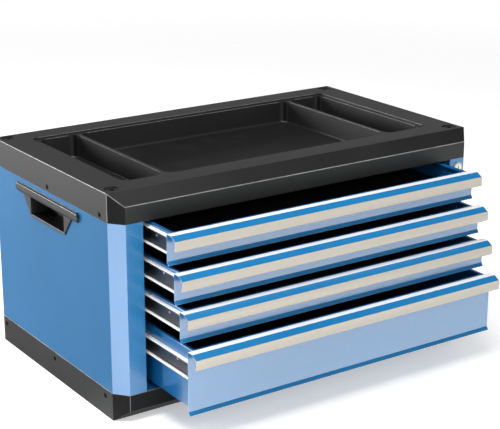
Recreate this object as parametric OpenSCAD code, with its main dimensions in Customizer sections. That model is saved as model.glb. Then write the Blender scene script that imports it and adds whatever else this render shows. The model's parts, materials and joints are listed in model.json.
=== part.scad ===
// Portable tool box: a folded steel cabinet between two moulded frames, with
// four drawers on ball-bearing slides, two flush grips and a lock that works
// a bar behind the right post.
// X runs across the front, Y from front to back, Z up. The origin is the
// centre of the base moulding's underside. Sizes are in millimetres.

/* [Cabinet] */
// Overall width
body_w = 690; // [600:1:800]
// Depth of the flat side panels
side_d = 385; // [372:1:460]
// How far the front stands forward of the flat sides
bow = 22; // [16:1:30]
// Width of the cut front corners, seen from the front
corner_cut = 18; // [12:1:22]
// Width of each front post, cut corner included
post_w = 48; // [46:1:60]
// How far each post is folded back along the opening
post_return = 24; // [12:1:24]
// Thickness of the cabinet's sheet steel
steel_t = 0.9; // [0.7:0.1:1.4]
// Width of the sheet flanges inside the cabinet
flange_w = 13; // [8:1:14]

/* [Moulded frames] */
// Height of the base moulding
plinth_h = 45; // [38:1:70]
// Height of the top moulding
tray_h = 45; // [38:1:70]
// Height of the slanted band along each moulding's front
bevel_h = 18; // [10:1:22]
// Wall of the mouldings
mould_t = 3; // [2.5:0.1:4]
// Clearance between a moulding's wall and the steel flange inside it
mould_gap = 0.2; // [0.1:0.1:0.4]
// Thickness of the ribs in the base
rib_t = 2; // [1.5:0.1:3]
// Number of ribs along the base
ribs_long = 5; // [3:2:9]
// Number of ribs across the base
ribs_cross = 9; // [5:2:13]

/* [Top compartments] */
// Margin from the side faces to the recess
recess_side = 48; // [44:1:60]
// Margin from the front and back edges to the recess
recess_end = 41; // [34:1:60]
// Depth of the recess
recess_step = 2.5; // [1.5:0.1:4]
// Width of the ledge round the compartments
ledge_w = 8; // [5:1:12]
// Width of each end compartment
end_pocket_w = 71; // [50:1:110]
// Width of the divider between two compartments
divider_w = 6; // [5:0.5:10]
// Corner radius of the compartments
pocket_r = 14; // [8:1:24]
// Distance of the corner screws from the side faces
corner_screw_in = 19; // [17:1:22]
// Distance of the corner screws from the front and back edges
corner_screw_end = 17; // [15:1:20]
// Radius of the dimple round a corner screw
dimple_r = 12; // [9:0.5:13]
// Depth of that dimple
dimple_d = 1.5; // [0.5:0.1:2]

/* [Screws] */
// Radius of a screw's head
screw_head_r = 4; // [3:0.1:5]
// Height of a screw's head
screw_head_h = 1.6; // [1.2:0.1:2]
// Radius of a screw's shank
screw_r = 2; // [1.5:0.1:2.4]
// Clearance round the screws
screw_gap = 0.3; // [0.1:0.1:0.5]
// Length of the side screws' shanks
side_screw_l = 8; // [6:1:9]
// Height of the side screws above the lower edge of the top moulding
tray_screw_z = 7.5; // [6:0.5:10]
// Distance of the side screws below the upper edge of the base
plinth_screw_z = 11.7; // [8:0.1:13]
// Distance of the outer side screws from the ends of the side panels
side_screw_end = 22.5; // [15:0.5:40]
// Height of the steel flanges that take the side screws
pan_h = 16; // [15:1:20]

/* [Grips] */
// Width of a grip's bar along its top edge
bar_w = 212; // [190:1:240]
// Width of the bar along its lower edge
bar_low_w = 184; // [172:1:188]
// Height of the bar
bar_h = 17; // [15:1:20]
// How far the bar stands proud of the side
bar_proud = 4.5; // [3:0.1:6]
// Radius of the rolled edge that the fingers close on
nose_r = 7; // [5.5:0.1:7.5]
// Width of the plate below the bar, at its top
plate_w = 162; // [140:1:170]
// Width of that plate along its lower edge
plate_low_w = 121; // [121:1:136]
// Height of the plate below the bar
plate_h = 30; // [27:1:40]
// How far the plate stands proud of the side
plate_proud = 2.5; // [1.5:0.1:3]
// Width of the finger hollow
hollow_w = 114; // [90:1:115]
// Depth of the finger hollow behind the side's face
hollow_d = 32; // [26:1:38]
// Wall of the hollow
hollow_t = 2; // [1.5:0.1:2.5]
// Distance of the grips below the top of the side panels
grip_drop = 8; // [4:1:20]

/* [Drawers] */
// Height of each shallow drawer's front
shallow_h = 48; // [46:0.5:60]
// Height of the deep drawer's front
deep_h = 100.5; // [70:0.5:140]
// Gap between two fronts
front_gap = 6.5; // [4:0.5:9]
// Gap above the top front
top_gap = 3.5; // [3:0.5:8]
// Gap below the bottom front
bottom_gap = 2.5; // [2:0.5:8]
// Gap between a front's end and the post
front_side_gap = 4; // [2:0.5:6]
// Space between a closed drawer and the back panel
drawer_back_gap = 26; // [24:1:60]
// Sheet thickness of the drawers
drawer_t = 0.8; // [0.7:0.1:1.2]
// Width of the rolled rim on the drawer's walls
rim_w = 6; // [4:0.5:8]
// Depth of the rim's lip
rim_lip = 3; // [2:0.5:5]
// Distance of the rim below the front's top edge
rim_drop = 1; // [0.5:0.1:2]
// Height of the deep drawer's floor above its front's lower edge
deep_floor_up = 6; // [4:0.5:12]
// Thickness of the mats
mat_t = 2; // [1:0.5:4]
// How far drawer 1 stands open
open_1 = 82.5; // [0:0.5:200]
// How far drawer 2 stands open
open_2 = 101; // [0:0.5:200]
// How far drawer 3 stands open
open_3 = 115; // [0:0.5:200]
// How far drawer 4 stands open
open_4 = 135.5; // [0:0.5:200]

/* [Drawer fronts] */
// How far the grip strip stands forward of the panel
hood_out = 23.4; // [20:0.1:26]
// Depth of the flat along the top edge
hood_flat = 11.6; // [8:0.1:14]
// Fall of the slope down to the strip
hood_drop = 6.1; // [3:0.1:9]
// Height of the grip strip
strip_h = 15.5; // [12:0.5:20]
// Thickness of the strip
strip_t = 1.2; // [0.8:0.1:1.6]
// Height of the strip's rear lip
strip_lip = 5; // [3:0.5:8]
// Height of the flared lower edge
flare_h = 5.8; // [3:0.1:8]
// How far that edge flares forward
flare_out = 3.5; // [1:0.1:5]

/* [Slides] */
// How much shorter a slide is than its drawer's box
slide_short = 5; // [4:0.5:20]
// Distance from the cabinet's upright to the drawer's wall
slide_t = 12.5; // [12.5:0.1:13.5]
// Height of the drawer's member
slide_h = 27; // [25:0.5:29]
// Thickness of the slides' sheet steel
slide_steel = 1.2; // [1:0.1:1.4]
// Radius of the balls
ball_r = 2.5; // [2.2:0.1:2.6]
// Running clearance between a ball and its race
ball_gap = 0.1; // [0.05:0.05:0.15]
// Spacing of the balls
ball_pitch = 13; // [8:1:15]
// Number of balls in a row
ball_count = 6; // [4:1:6]
// Distance from the panel's face back to the drawer's member
member_back = 4; // [3:0.5:5]
// Distance of the front hook slot in the box's side behind the panel's face
hook_back = 60; // [50:1:80]
// Distance between the two hook slots
hook_pitch = 33; // [20:1:60]
// Distance of the slide's centre below a shallow front's top edge
slide_drop = 18.8; // [18.5:0.1:20]
// The same distance on the deep drawer
deep_slide_drop = 32; // [20:0.5:34]

/* [Lock] */
// Distance of the lock's axis from the right side face
lock_in = 31.3; // [30.5:0.1:32]
// Distance of the lock's axis below the cabinet's top
lock_drop = 16; // [16:0.5:24]
// Radius of the ring round the lock's face
lock_ring_r = 9.5; // [9:0.1:10.5]
// How far the ring stands proud
lock_proud = 2; // [1:0.1:3]
// Radius of the barrel
barrel_r = 8; // [7.5:0.1:8.5]
// Radius of the plug
plug_r = 6.5; // [5.5:0.1:6.8]
// Running clearance round the plug
plug_gap = 0.05; // [0.02:0.01:0.08]
// Radius at which the cam's pin turns
crank_r = 7; // [6:0.1:7.5]
// Radius of the cam's pin
pin_r = 2; // [1.5:0.1:2.2]
// Clearance between the pin and its slot
pin_gap = 0.45; // [0.4:0.05:0.6]
// Width of the lock bar
lock_bar_w = 14; // [13:0.5:15]
// Clearance round the lock bar in its guides
guide_gap = 0.2; // [0.1:0.1:0.3]

/* [Hidden] */
$fn = 64;

// Outer planes
half_w = body_w / 2;
y_front = -(side_d + bow) / 2;
y_side = y_front + bow;
y_back = y_side + side_d;
z_floor = plinth_h;

// Fronts from the top drawer down: heights, top edges and slide centres
front_h = [shallow_h, shallow_h, shallow_h, deep_h];
opening_h = top_gap + 3 * (shallow_h + front_gap) + deep_h + bottom_gap;
z_top = z_floor + opening_h;
z_high = z_top + tray_h;
front_top = [for (i = [0:3]) z_top - top_gap - i * (shallow_h + front_gap)];
slide_z = [for (i = [0:3]) front_top[i] - (i < 3 ? slide_drop : deep_slide_drop)];
opened = [open_1, open_2, open_3, open_4];

// The front panel's face with the drawer closed: the strip is then flush with
// the posts
panel_y = y_front + hood_out + 0.1;
front_half_w = half_w - post_w - front_side_gap;

// Drawer boxes and slides end together, short of the back panel
box_y = panel_y + drawer_t;
box_d = y_back - 2 * steel_t - drawer_back_gap - box_y;
slide_l = box_d - slide_short;

// The steel pans that carry the mouldings stand just inside their walls
pan_in = mould_t + mould_gap;

// Slide section: p runs from the upright to the drawer, q up from the centre.
// The balls run in two grooves, one above and one below the drawer's member.
rail_x = post_w + steel_t;
race_r = ball_r + ball_gap;
lip_p = 4.5;
ball_p = 7.5;
lip_reach = 3;
member_half = slide_h / 2;
ball_q = member_half + 0.45 * ball_r;
keeper_q = 2 * ball_q - member_half;
keeper_top = ball_q + race_r + slide_steel;
// The cage is half as long again as the play, and sits midway along its play
cage_l = (ball_count - 1) * ball_pitch + 2 * ball_r + 6;
cage_t = 1;
rail_y = panel_y + 10.5;
member_y = panel_y + member_back;
cage_y = member_y + (slide_l + rail_y - member_y - cage_l) / 2 - 1;

// Drawer boxes
box_x = rail_x + slide_t;
box_half_w = half_w - box_x;
shallow_floor = slide_drop + member_half + 0.2;
box_low = [for (i = [0:3]) i < 3 ? front_top[i] - shallow_floor
  : front_top[i] - deep_h + deep_floor_up];

// Lock: the bar stands just behind the cam and its fingers reach through the
// right upright, below the catch of each closed drawer
lock_x = half_w - lock_in;
lock_z = z_top - lock_drop;
barrel_l = 20;
cam_y = y_front + barrel_l + 1;
cam_t = 2;
bar_t = 2;
bar_y = y_front + 26.5;
bar_x = half_w - post_w + 1.3;
turn = 90;
bar_lift = 2 * crank_r * sin(turn / 2);
finger_h = 8;
finger_reach = lip_p + 5;
catch_h = 7.5;
catch_top = [for (i = [0:3]) slide_z[i] - keeper_top - 1.3];
finger_top = [for (i = [0:3]) catch_top[i] - catch_h - 4];
catch_y = bar_y + bar_t + 1;

// ---- Shared forms ----

// Extrudes an outline drawn in X and Z towards +Y
module along_y(y0, len) {
  translate([0, y0 + len, 0]) rotate([90, 0, 0]) linear_extrude(len) children();
}

// Extrudes an outline drawn in Y and Z towards +X
module along_x(x0, len) {
  translate([x0, 0, 0]) rotate([90, 0, 90]) linear_extrude(len) children();
}

module block(low, high) {
  translate(low) cube(high - low);
}

// A round bar along Y or X
module rod_y(x, y, z, r, len) {
  translate([x, y + len, z]) rotate([90, 0, 0]) cylinder(r = r, h = len);
}
module rod_x(x, y, z, r, len) {
  translate([x, y, z]) rotate([0, 90, 0]) cylinder(r = r, h = len);
}

module rounded_box(low, high, r) {
  translate([0, 0, low[2]]) linear_extrude(high[2] - low[2]) {
    translate([low[0] + r, low[1]]) square([high[0] - low[0] - 2 * r, high[1] - low[1]]);
    translate([low[0], low[1] + r]) square([high[0] - low[0], high[1] - low[1] - 2 * r]);
    for (x = [low[0] + r, high[0] - r], y = [low[1] + r, high[1] - r])
      translate([x, y]) circle(r);
  }
}

// Outline of a folded sheet of thickness t along a path, with mitred bends.
// A positive t lies to the left of the path and a negative one to its right.
function unit(v) = v / norm(v);
function seg_left(p, i) = let(v = unit(p[i + 1] - p[i])) [-v[1], v[0]];
function offset_point(p, i, t) =
  i == 0 ? p[0] + t * seg_left(p, 0)
  : i == len(p) - 1 ? p[i] + t * seg_left(p, i - 1)
  : let(a = seg_left(p, i - 1), b = seg_left(p, i)) p[i] + t * (a + b) / (1 + a * b);
module folded(p, t) {
  polygon(concat(p, [for (i = [len(p) - 1:-1:0]) offset_point(p, i, t)]));
}

// Footprint with the two cut front corners, drawn in by a wall
function footprint(in) =
  let(l = norm([bow, corner_cut]),
      x = half_w - in,
      ys = y_side + in * (l - bow) / corner_cut,
      xf = half_w - corner_cut - in * (l - corner_cut) / bow)
  [[-x, y_back - in], [-x, ys], [-xf, y_front + in],
   [xf, y_front + in], [x, ys], [x, y_back - in]];

// Side view of a moulding of height h with its slanted front band, drawn in by
// a wall at the front and back and by a deck at the top
function side_view(h, in, deck) =
  let(m = norm([bow, bevel_h]),
      z_in = h - bevel_h - in * (m - bevel_h) / bow,
      y_deck = y_side + (in * m - bow * deck) / bevel_h)
  [[y_front + in, -1], [y_front + in, z_in], [y_deck, h - deck],
   [y_back - in, h - deck], [y_back - in, -1]];

module moulding(h, in, deck) {
  intersection() {
    linear_extrude(h - deck) polygon(footprint(in));
    along_x(-half_w, body_w) polygon(side_view(h, in, deck));
  }
}

// ---- Mouldings ----

side_screw_y = [y_side + side_screw_end, (y_side + y_back) / 2, y_back - side_screw_end + 10];

// Counterbored holes for the side screws, on both sides
module side_screw_holes(z) {
  for (side = [-1, 1], y = side_screw_y) {
    rod_x(side * half_w - 10, y, z, screw_r + screw_gap, 20);
    rod_x(side * half_w - screw_head_h - 0.2, y, z, screw_head_r + screw_gap,
      2 * screw_head_h + 0.4);
  }
}

rib_in = 11;
module rib_grid(low, high) {
  span_x = body_w - 2 * rib_in;
  span_y = side_d - 2 * rib_in;
  for (i = [1:ribs_cross])
    block([-half_w + rib_in + i * span_x / (ribs_cross + 1) - rib_t / 2, y_side + rib_in, low],
      [-half_w + rib_in + i * span_x / (ribs_cross + 1) + rib_t / 2, y_back - rib_in, high]);
  for (j = [1:ribs_long])
    block([-half_w + rib_in, y_side + rib_in + j * span_y / (ribs_long + 1) - rib_t / 2, low],
      [half_w - rib_in, y_side + rib_in + j * span_y / (ribs_long + 1) + rib_t / 2, high]);
}

// Base: a moulded pan with a flat underside, ribbed below the steel floor
module plinth() {
  color([0.1, 0.1, 0.1])
  difference() {
    union() {
      difference() {
        translate([0, 0, plinth_h]) mirror([0, 0, 1]) moulding(plinth_h, 0, 0);
        translate([0, 0, plinth_h + 1]) mirror([0, 0, 1])
          moulding(plinth_h + 1, mould_t, mould_t);
      }
      rib_grid(mould_t - 0.5, plinth_h - steel_t);
    }
    side_screw_holes(plinth_h - plinth_screw_z);
  }
}

// Corner screws of the top moulding
corner_screw_xy = [for (side = [-1, 1], y = [y_side + corner_screw_end, y_back - corner_screw_end])
  [side * (half_w - corner_screw_in), y]];
boss_r = 7;
deck_t = recess_step + mould_t;
seat_d = dimple_d + 3;

// Compartments: low and high corners of each hollow
recess_x = half_w - recess_side;
pocket_low_y = y_side + recess_end + ledge_w;
pocket_high_y = y_back - recess_end - ledge_w;
pocket_floor = z_top + steel_t + mould_t;
end_x = recess_x - ledge_w - end_pocket_w;
pockets = [[-recess_x + ledge_w, -end_x], [-end_x + divider_w, end_x - divider_w],
  [end_x, recess_x - ledge_w]];

// Top: a moulded frame with a shallow recess and three compartments in one
module top_tray() {
  color([0.16, 0.16, 0.16])
  difference() {
    union() {
      difference() {
        translate([0, 0, z_top]) moulding(tray_h, 0, 0);
        translate([0, 0, z_top - 1]) moulding(tray_h + 1, mould_t, deck_t);
      }
      for (p = pockets)
        rounded_box([p[0] - mould_t, pocket_low_y - mould_t, z_top + steel_t],
          [p[1] + mould_t, pocket_high_y + mould_t, z_high - recess_step], pocket_r + mould_t);
      for (c = corner_screw_xy)
        translate([c[0], c[1], z_top + steel_t]) cylinder(r = boss_r, h = tray_h - steel_t - 1);
    }
    rounded_box([-recess_x, y_side + recess_end, z_high - recess_step],
      [recess_x, y_back - recess_end, z_high + 1], pocket_r - 2);
    for (p = pockets)
      rounded_box([p[0], pocket_low_y, pocket_floor], [p[1], pocket_high_y, z_high + 1], pocket_r);
    for (c = corner_screw_xy) {
      translate([c[0], c[1], z_high - dimple_d]) cylinder(r = dimple_r, h = 5);
      translate([c[0], c[1], z_high - seat_d - screw_head_h])
        cylinder(r = screw_head_r + screw_gap, h = tray_h);
      translate([c[0], c[1], z_top - 1]) cylinder(r = screw_r + screw_gap, h = tray_h);
    }
    side_screw_holes(z_top + tray_screw_z);
  }
}

// ---- Steel cabinet ----

// A sheet pan that fills the footprint inside a moulding, its flange upwards
module pan(h) {
  difference() {
    linear_extrude(h) polygon(footprint(pan_in));
    translate([0, 0, steel_t]) linear_extrude(h) polygon(footprint(pan_in + steel_t));
  }
}

module floor_panel() {
  color([0.25, 0.5, 0.75])
  difference() {
    translate([0, 0, z_floor]) mirror([0, 0, 1]) pan(pan_h);
    side_screw_holes(plinth_h - plinth_screw_z);
  }
}

module top_panel() {
  color([0.25, 0.5, 0.75])
  difference() {
    translate([0, 0, z_top]) pan(pan_h);
    side_screw_holes(z_top + tray_screw_z);
    for (c = corner_screw_xy)
      translate([c[0], c[1], z_top - 1]) cylinder(r = screw_r + screw_gap, h = 5);
  }
}

// Grip position on the side panel
grip_y = (y_side + y_back) / 2;
grip_top = z_top - grip_drop;
nose_low = grip_top - bar_h;
hollow_low = nose_low - plate_h + 3.5;
hollow_high = nose_low + 2 * nose_r - hollow_t;

// One sheet makes the side, the cut corner, the post and its return
module side_panel(is_right) {
  difference() {
    union() {
      translate([0, 0, z_floor]) linear_extrude(opening_h)
        folded([[-half_w + flange_w + 2, y_back], [-half_w, y_back], [-half_w, y_side],
          [-half_w + corner_cut, y_front], [-half_w + post_w, y_front],
          [-half_w + post_w, y_front + post_return]], steel_t);
      for (z = [z_floor, z_top - steel_t])
        block([-half_w + steel_t / 2, y_side + 6, z],
          [-half_w + flange_w, y_back - flange_w - 3 * steel_t, z + steel_t]);
    }
    block([-half_w - 1, grip_y - hollow_w / 2 - hollow_t - 0.3, hollow_low - hollow_t - 0.3],
      [-half_w + flange_w - 1, grip_y + hollow_w / 2 + hollow_t + 0.3,
       hollow_high + hollow_t + 0.3]);
    if (is_right) rod_y(-lock_x, y_front - 1, lock_z, barrel_r + screw_gap, 4);
  }
}

module left_side_panel() {
  color([0.29, 0.53, 0.71]) side_panel(false);
}

module right_side_panel() {
  color([0.29, 0.53, 0.71]) mirror([1, 0, 0]) side_panel(true);
}

// Back sheet behind the rear folds of the side panels, with a fold at each end
module back_panel() {
  color([0.25, 0.5, 0.72])
  translate([0, 0, z_floor]) linear_extrude(opening_h)
    folded([[-half_w + steel_t, y_back - flange_w - steel_t],
      [-half_w + steel_t, y_back - steel_t], [half_w - steel_t, y_back - steel_t],
      [half_w - steel_t, y_back - flange_w - steel_t]], -steel_t);
}

// Channel between floor and top that carries the slides of one side
upright_y = y_front + 12;
module upright() {
  difference() {
    along_y(upright_y, y_back - 2 * steel_t - upright_y)
      folded([[-half_w + rail_x - flange_w, z_floor], [-half_w + rail_x, z_floor],
        [-half_w + rail_x, z_top], [-half_w + rail_x - flange_w, z_top]], steel_t);
    block([-half_w + rail_x - flange_w - 1, upright_y - 1, z_floor - 1],
      [-half_w + post_w, y_front + post_return + 0.3, z_top + 1]);
  }
}

module left_upright() {
  color([0.12, 0.2, 0.3]) upright();
}

// The right upright has a slot for each finger of the lock bar
module right_upright() {
  color([0.12, 0.2, 0.3])
  difference() {
    mirror([1, 0, 0]) upright();
    for (z = finger_top)
      block([half_w - rail_x - 1, bar_y - 0.8, z - finger_h - 1],
        [half_w - post_w + 1, bar_y + bar_t + 0.8, z + bar_lift + 1]);
  }
}

// ---- Slides ----

// A trough round a ball's race: a flat strip from p0 to p1 at height q, bent
// round the ball on its outer side, where dir is 1 above the ball and -1 below
module race(p0, p1, q, dir) {
  difference() {
    union() {
      translate([p0, dir > 0 ? q : q - slide_steel]) square([p1 - p0, slide_steel]);
      intersection() {
        translate([ball_p, ball_q]) circle(race_r + slide_steel);
        translate([p0, dir > 0 ? q : q - 3 * ball_r]) square([p1 - p0, 3 * ball_r]);
      }
    }
    translate([ball_p, ball_q]) circle(race_r);
  }
}

// The cabinet's member: a web on the upright with a keeper over each row of balls
module cabinet_member() {
  translate([0, -keeper_q - slide_steel]) square([slide_steel, 2 * (keeper_q + slide_steel)]);
  for (m = [0, 1]) mirror([0, m]) race(0, ball_p + lip_reach, keeper_q, 1);
}

// The drawer's member: a channel that opens towards the upright
module drawer_member() {
  translate([slide_t - slide_steel, -member_half]) square([slide_steel, slide_h]);
  for (m = [0, 1]) mirror([0, m]) race(lip_p, slide_t, member_half, -1);
}

module cabinet_rail(i) {
  color([0.75, 0.76, 0.78])
  along_y(rail_y, slide_l) translate([-half_w + rail_x, slide_z[i]]) cabinet_member();
}

module drawer_rail(i) {
  color([0.8, 0.81, 0.83])
  along_y(member_y - opened[i], slide_l)
    translate([-half_w + rail_x, slide_z[i]]) drawer_member();
}

// Cage: a bent strip with a hole round each ball, and the balls in it
module ball_cage(i) {
  y0 = cage_y - opened[i] / 2;
  y_ball = y0 + (cage_l - (ball_count - 1) * ball_pitch) / 2;
  p_web = (slide_steel + lip_p) / 2;
  gap_q = (member_half + keeper_q) / 2;
  color([0.7, 0.68, 0.6])
  difference() {
    along_y(y0, cage_l) translate([-half_w + rail_x, slide_z[i]])
      folded([[ball_p + lip_reach, gap_q + cage_t / 2], [p_web - cage_t / 2, gap_q + cage_t / 2],
        [p_web - cage_t / 2, -gap_q - cage_t / 2], [ball_p + lip_reach, -gap_q - cage_t / 2]],
        cage_t);
    for (k = [0:ball_count - 1], s = [-1, 1])
      translate([-half_w + rail_x + ball_p, y_ball + k * ball_pitch, slide_z[i] + s * gap_q])
        cylinder(r = ball_r + 0.15, h = 4, center = true);
  }
  color([0.85, 0.86, 0.88])
  for (k = [0:ball_count - 1], s = [-1, 1])
    translate([-half_w + rail_x + ball_p, y_ball + k * ball_pitch, slide_z[i] + s * ball_q])
      sphere(ball_r);
}

// ---- Drawers ----

// Sheet box with a rolled rim and slots for the rails' hooks. A shallow box
// has a lock catch below its floor, and the deep one has it on its wall.
module drawer_box(i) {
  low = [-box_half_w, box_y - opened[i], box_low[i]];
  high = [box_half_w, box_y + box_d - opened[i], front_top[i] - rim_drop];
  wall = [drawer_t, drawer_t, 0];
  rim = [rim_w, rim_w, 0];
  up = [0, 0, 1];
  color([0.12, 0.36, 0.58]) {
    difference() {
      block(low, high);
      block(low + wall + drawer_t * up, high - wall + up);
      for (side = [-1, 1], y = [hook_back, hook_back + hook_pitch])
        block([side * box_half_w - 2, panel_y + y - 1.5 - opened[i], slide_z[i] - 4],
          [side * box_half_w + 2, panel_y + y + 1.5 - opened[i], slide_z[i] + 4]);
    }
    difference() {
      block([low[0], low[1], high[2] - drawer_t], high);
      block(low + rim, high - rim + up);
    }
    difference() {
      block(low + rim - wall + (high[2] - rim_lip - low[2]) * up, high - rim + wall);
      block(low + rim, high - rim + up);
    }
    if (i < 3) floor_catch(i);
  }
}

catch_foot = 12;
catch_out = box_half_w + slide_t - lip_p + 0.7;

// Bent catch welded under a shallow floor
module floor_catch(i) {
  y0 = catch_y - opened[i];
  along_y(y0, 2) polygon([[box_half_w - 24, box_low[i]], [box_half_w - 24, box_low[i] - 4],
    [box_half_w - 12, catch_top[i] - catch_h], [catch_out, catch_top[i] - catch_h],
    [catch_out, catch_top[i]], [box_half_w - 0.5, catch_top[i]],
    [box_half_w - 0.5, box_low[i]]]);
  block([box_half_w - 24, y0, box_low[i] - 1.5],
    [box_half_w - 0.5, y0 + catch_foot, box_low[i]]);
}

// Bent catch welded on the deep drawer's wall
module wall_catch() {
  y0 = catch_y - opened[3];
  low = catch_top[3] - catch_h;
  color([0.12, 0.36, 0.58]) {
    block([box_half_w, y0, low], [catch_out, y0 + 2, catch_top[3]]);
    block([box_half_w, y0, low], [box_half_w + 2, y0 + catch_foot, catch_top[3]]);
  }
}

// Front: one folded sheet with a flared lower edge and a hood for the strip
module drawer_front(i) {
  y = panel_y - opened[i];
  z = front_top[i];
  color([0.35, 0.6, 0.82])
  along_x(-front_half_w, 2 * front_half_w)
    folded([[y - hood_out + strip_t, z - hood_drop - strip_h + strip_t],
      [y - hood_out + strip_t, z - hood_drop], [y - hood_flat, z], [y + drawer_t, z],
      [y + drawer_t, z - front_h[i] + flare_h], [y + drawer_t - flare_out, z - front_h[i]]],
      -drawer_t);
}

// Grip strip: a bright channel clipped over the hood's edge
module drawer_strip(i) {
  y = panel_y - opened[i] - hood_out;
  z = front_top[i] - hood_drop;
  color([0.84, 0.82, 0.75])
  along_x(-front_half_w, 2 * front_half_w)
    folded([[y, z], [y, z - strip_h], [y + 2 * strip_t + drawer_t, z - strip_h],
      [y + 2 * strip_t + drawer_t, z - strip_h + strip_lip]], strip_t);
}

module drawer_mat(i) {
  in = drawer_t + 0.5;
  color([0.07, 0.07, 0.07])
  block([-box_half_w + in, box_y + in - opened[i], box_low[i] + drawer_t],
    [box_half_w - in, box_y + box_d - in - opened[i], box_low[i] + drawer_t + mat_t]);
}

// ---- Grips ----

module bar_outline() {
  r = 8;
  for (m = [0, 1]) translate([grip_y, 0]) mirror([m, 0]) {
    translate([bar_w / 2 - r, grip_top - r]) circle(r);
    polygon([[0, grip_top], [bar_w / 2 - r, grip_top], [bar_w / 2, grip_top - r],
      [bar_low_w / 2, nose_low], [0, nose_low]]);
  }
}

module plate_outline() {
  r = 5;
  low = nose_low - plate_h;
  for (m = [0, 1]) translate([grip_y, 0]) mirror([m, 0]) {
    translate([plate_low_w / 2 - r, low + r]) circle(r);
    polygon([[0, nose_low + nose_r], [plate_w / 2, nose_low + nose_r], [plate_w / 2, nose_low],
      [plate_low_w / 2, low + r], [plate_low_w / 2 - r, low], [0, low]]);
  }
}

// Section of the bar: a flat face, a broken top edge and a rolled lower edge
module bar_section() {
  x = -half_w;
  translate([x - bar_proud + nose_r, nose_low + nose_r]) circle(nose_r);
  polygon([[x, nose_low + nose_r], [x - bar_proud, nose_low + nose_r],
    [x - bar_proud, grip_top - 2], [x - bar_proud + 2, grip_top], [x, grip_top]]);
}

// Moulded grip: a plate on the side, a hollow behind it and the rolled bar
module handle() {
  half = hollow_w / 2;
  color([0.2, 0.2, 0.2]) {
    difference() {
      union() {
        along_x(-half_w - plate_proud, plate_proud) plate_outline();
        block([-half_w, grip_y - half - hollow_t, hollow_low - hollow_t],
          [-half_w + hollow_d + hollow_t, grip_y + half + hollow_t, hollow_high + hollow_t]);
      }
      block([-half_w - plate_proud - 1, grip_y - half, hollow_low],
        [-half_w + hollow_d, grip_y + half, hollow_high]);
    }
    intersection() {
      along_y(grip_y - bar_w, 2 * bar_w) bar_section();
      union() {
        along_x(-half_w - bar_proud - 1, bar_proud + 1) bar_outline();
        block([-half_w - bar_proud, grip_y - half - hollow_t, nose_low],
          [-half_w + 2 * nose_r, grip_y + half + hollow_t, nose_low + 2 * nose_r]);
      }
    }
  }
}

module left_handle() {
  handle();
}

module right_handle() {
  mirror([1, 0, 0]) handle();
}

// ---- Screws ----

module side_screws() {
  color([0.05, 0.05, 0.05])
  for (y = side_screw_y, z = [z_top + tray_screw_z, plinth_h - plinth_screw_z]) {
    rod_x(-half_w + 0.1, y, z, screw_head_r, screw_head_h);
    rod_x(-half_w + 0.1 + screw_head_h - 0.1, y, z, screw_r, side_screw_l);
  }
}

module left_screws() {
  side_screws();
}

module right_screws() {
  mirror([1, 0, 0]) side_screws();
}

module tray_screws() {
  color([0.05, 0.05, 0.05])
  for (c = corner_screw_xy) {
    translate([c[0], c[1], z_high - seat_d - screw_head_h])
      cylinder(r = screw_head_r, h = screw_head_h);
    translate([c[0], c[1], z_top - 3])
      cylinder(r = screw_r, h = tray_h - seat_d - screw_head_h + 3.1);
  }
}

// ---- Lock ----

// Barrel with its ring outside the post and its nut inside
module lock_housing() {
  color([0.15, 0.15, 0.16])
  difference() {
    union() {
      rod_y(lock_x, y_front - lock_proud, lock_z, lock_ring_r, lock_proud);
      rod_y(lock_x, y_front - 0.5, lock_z, barrel_r, barrel_l + 0.5);
      translate([lock_x, y_front + steel_t + 4, lock_z]) rotate([90, 0, 0])
        cylinder(r = barrel_r + 3.5, h = 4, $fn = 6);
    }
    rod_y(lock_x, y_front - lock_proud - 1, lock_z, plug_r, barrel_l + 10);
  }
}

tail_w = 6;
// Plug with its key slot in front and a square tail behind
module lock_plug() {
  slot_w = 1.6;
  slot_h = 1.3 * plug_r;
  color([0.82, 0.82, 0.84])
  difference() {
    union() {
      rod_y(lock_x, y_front - lock_proud - 0.3, lock_z, plug_r - plug_gap,
        lock_proud + barrel_l + 0.8);
      block([lock_x - tail_w / 2, y_front + barrel_l, lock_z - tail_w / 2],
        [lock_x + tail_w / 2, cam_y + cam_t, lock_z + tail_w / 2]);
      rod_y(lock_x, cam_y + cam_t - 0.5, lock_z, tail_w / 2 - 0.4, 2.5);
    }
    block([lock_x - slot_w / 2, y_front - lock_proud - 2, lock_z - slot_h / 2],
      [lock_x + slot_w / 2, y_front + 8, lock_z + slot_h / 2]);
  }
}

// Cam plate on the square tail, with the pin that lifts the bar
module lock_cam() {
  a = 45;
  px = lock_x - crank_r * cos(a);
  pz = lock_z - crank_r * sin(a);
  color([0.7, 0.71, 0.73])
  difference() {
    union() {
      rod_y(lock_x, cam_y, lock_z, plug_r, cam_t);
      rod_y(px, cam_y, pz, pin_r + 1.5, cam_t);
      rod_y(px, cam_y, pz, pin_r, bar_y + bar_t + 0.8 - cam_y);
    }
    block([lock_x - tail_w / 2 - 0.05, cam_y - 1, lock_z - tail_w / 2 - 0.05],
      [lock_x + tail_w / 2 + 0.05, cam_y + cam_t + 1, lock_z + tail_w / 2 + 0.05]);
  }
}

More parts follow.
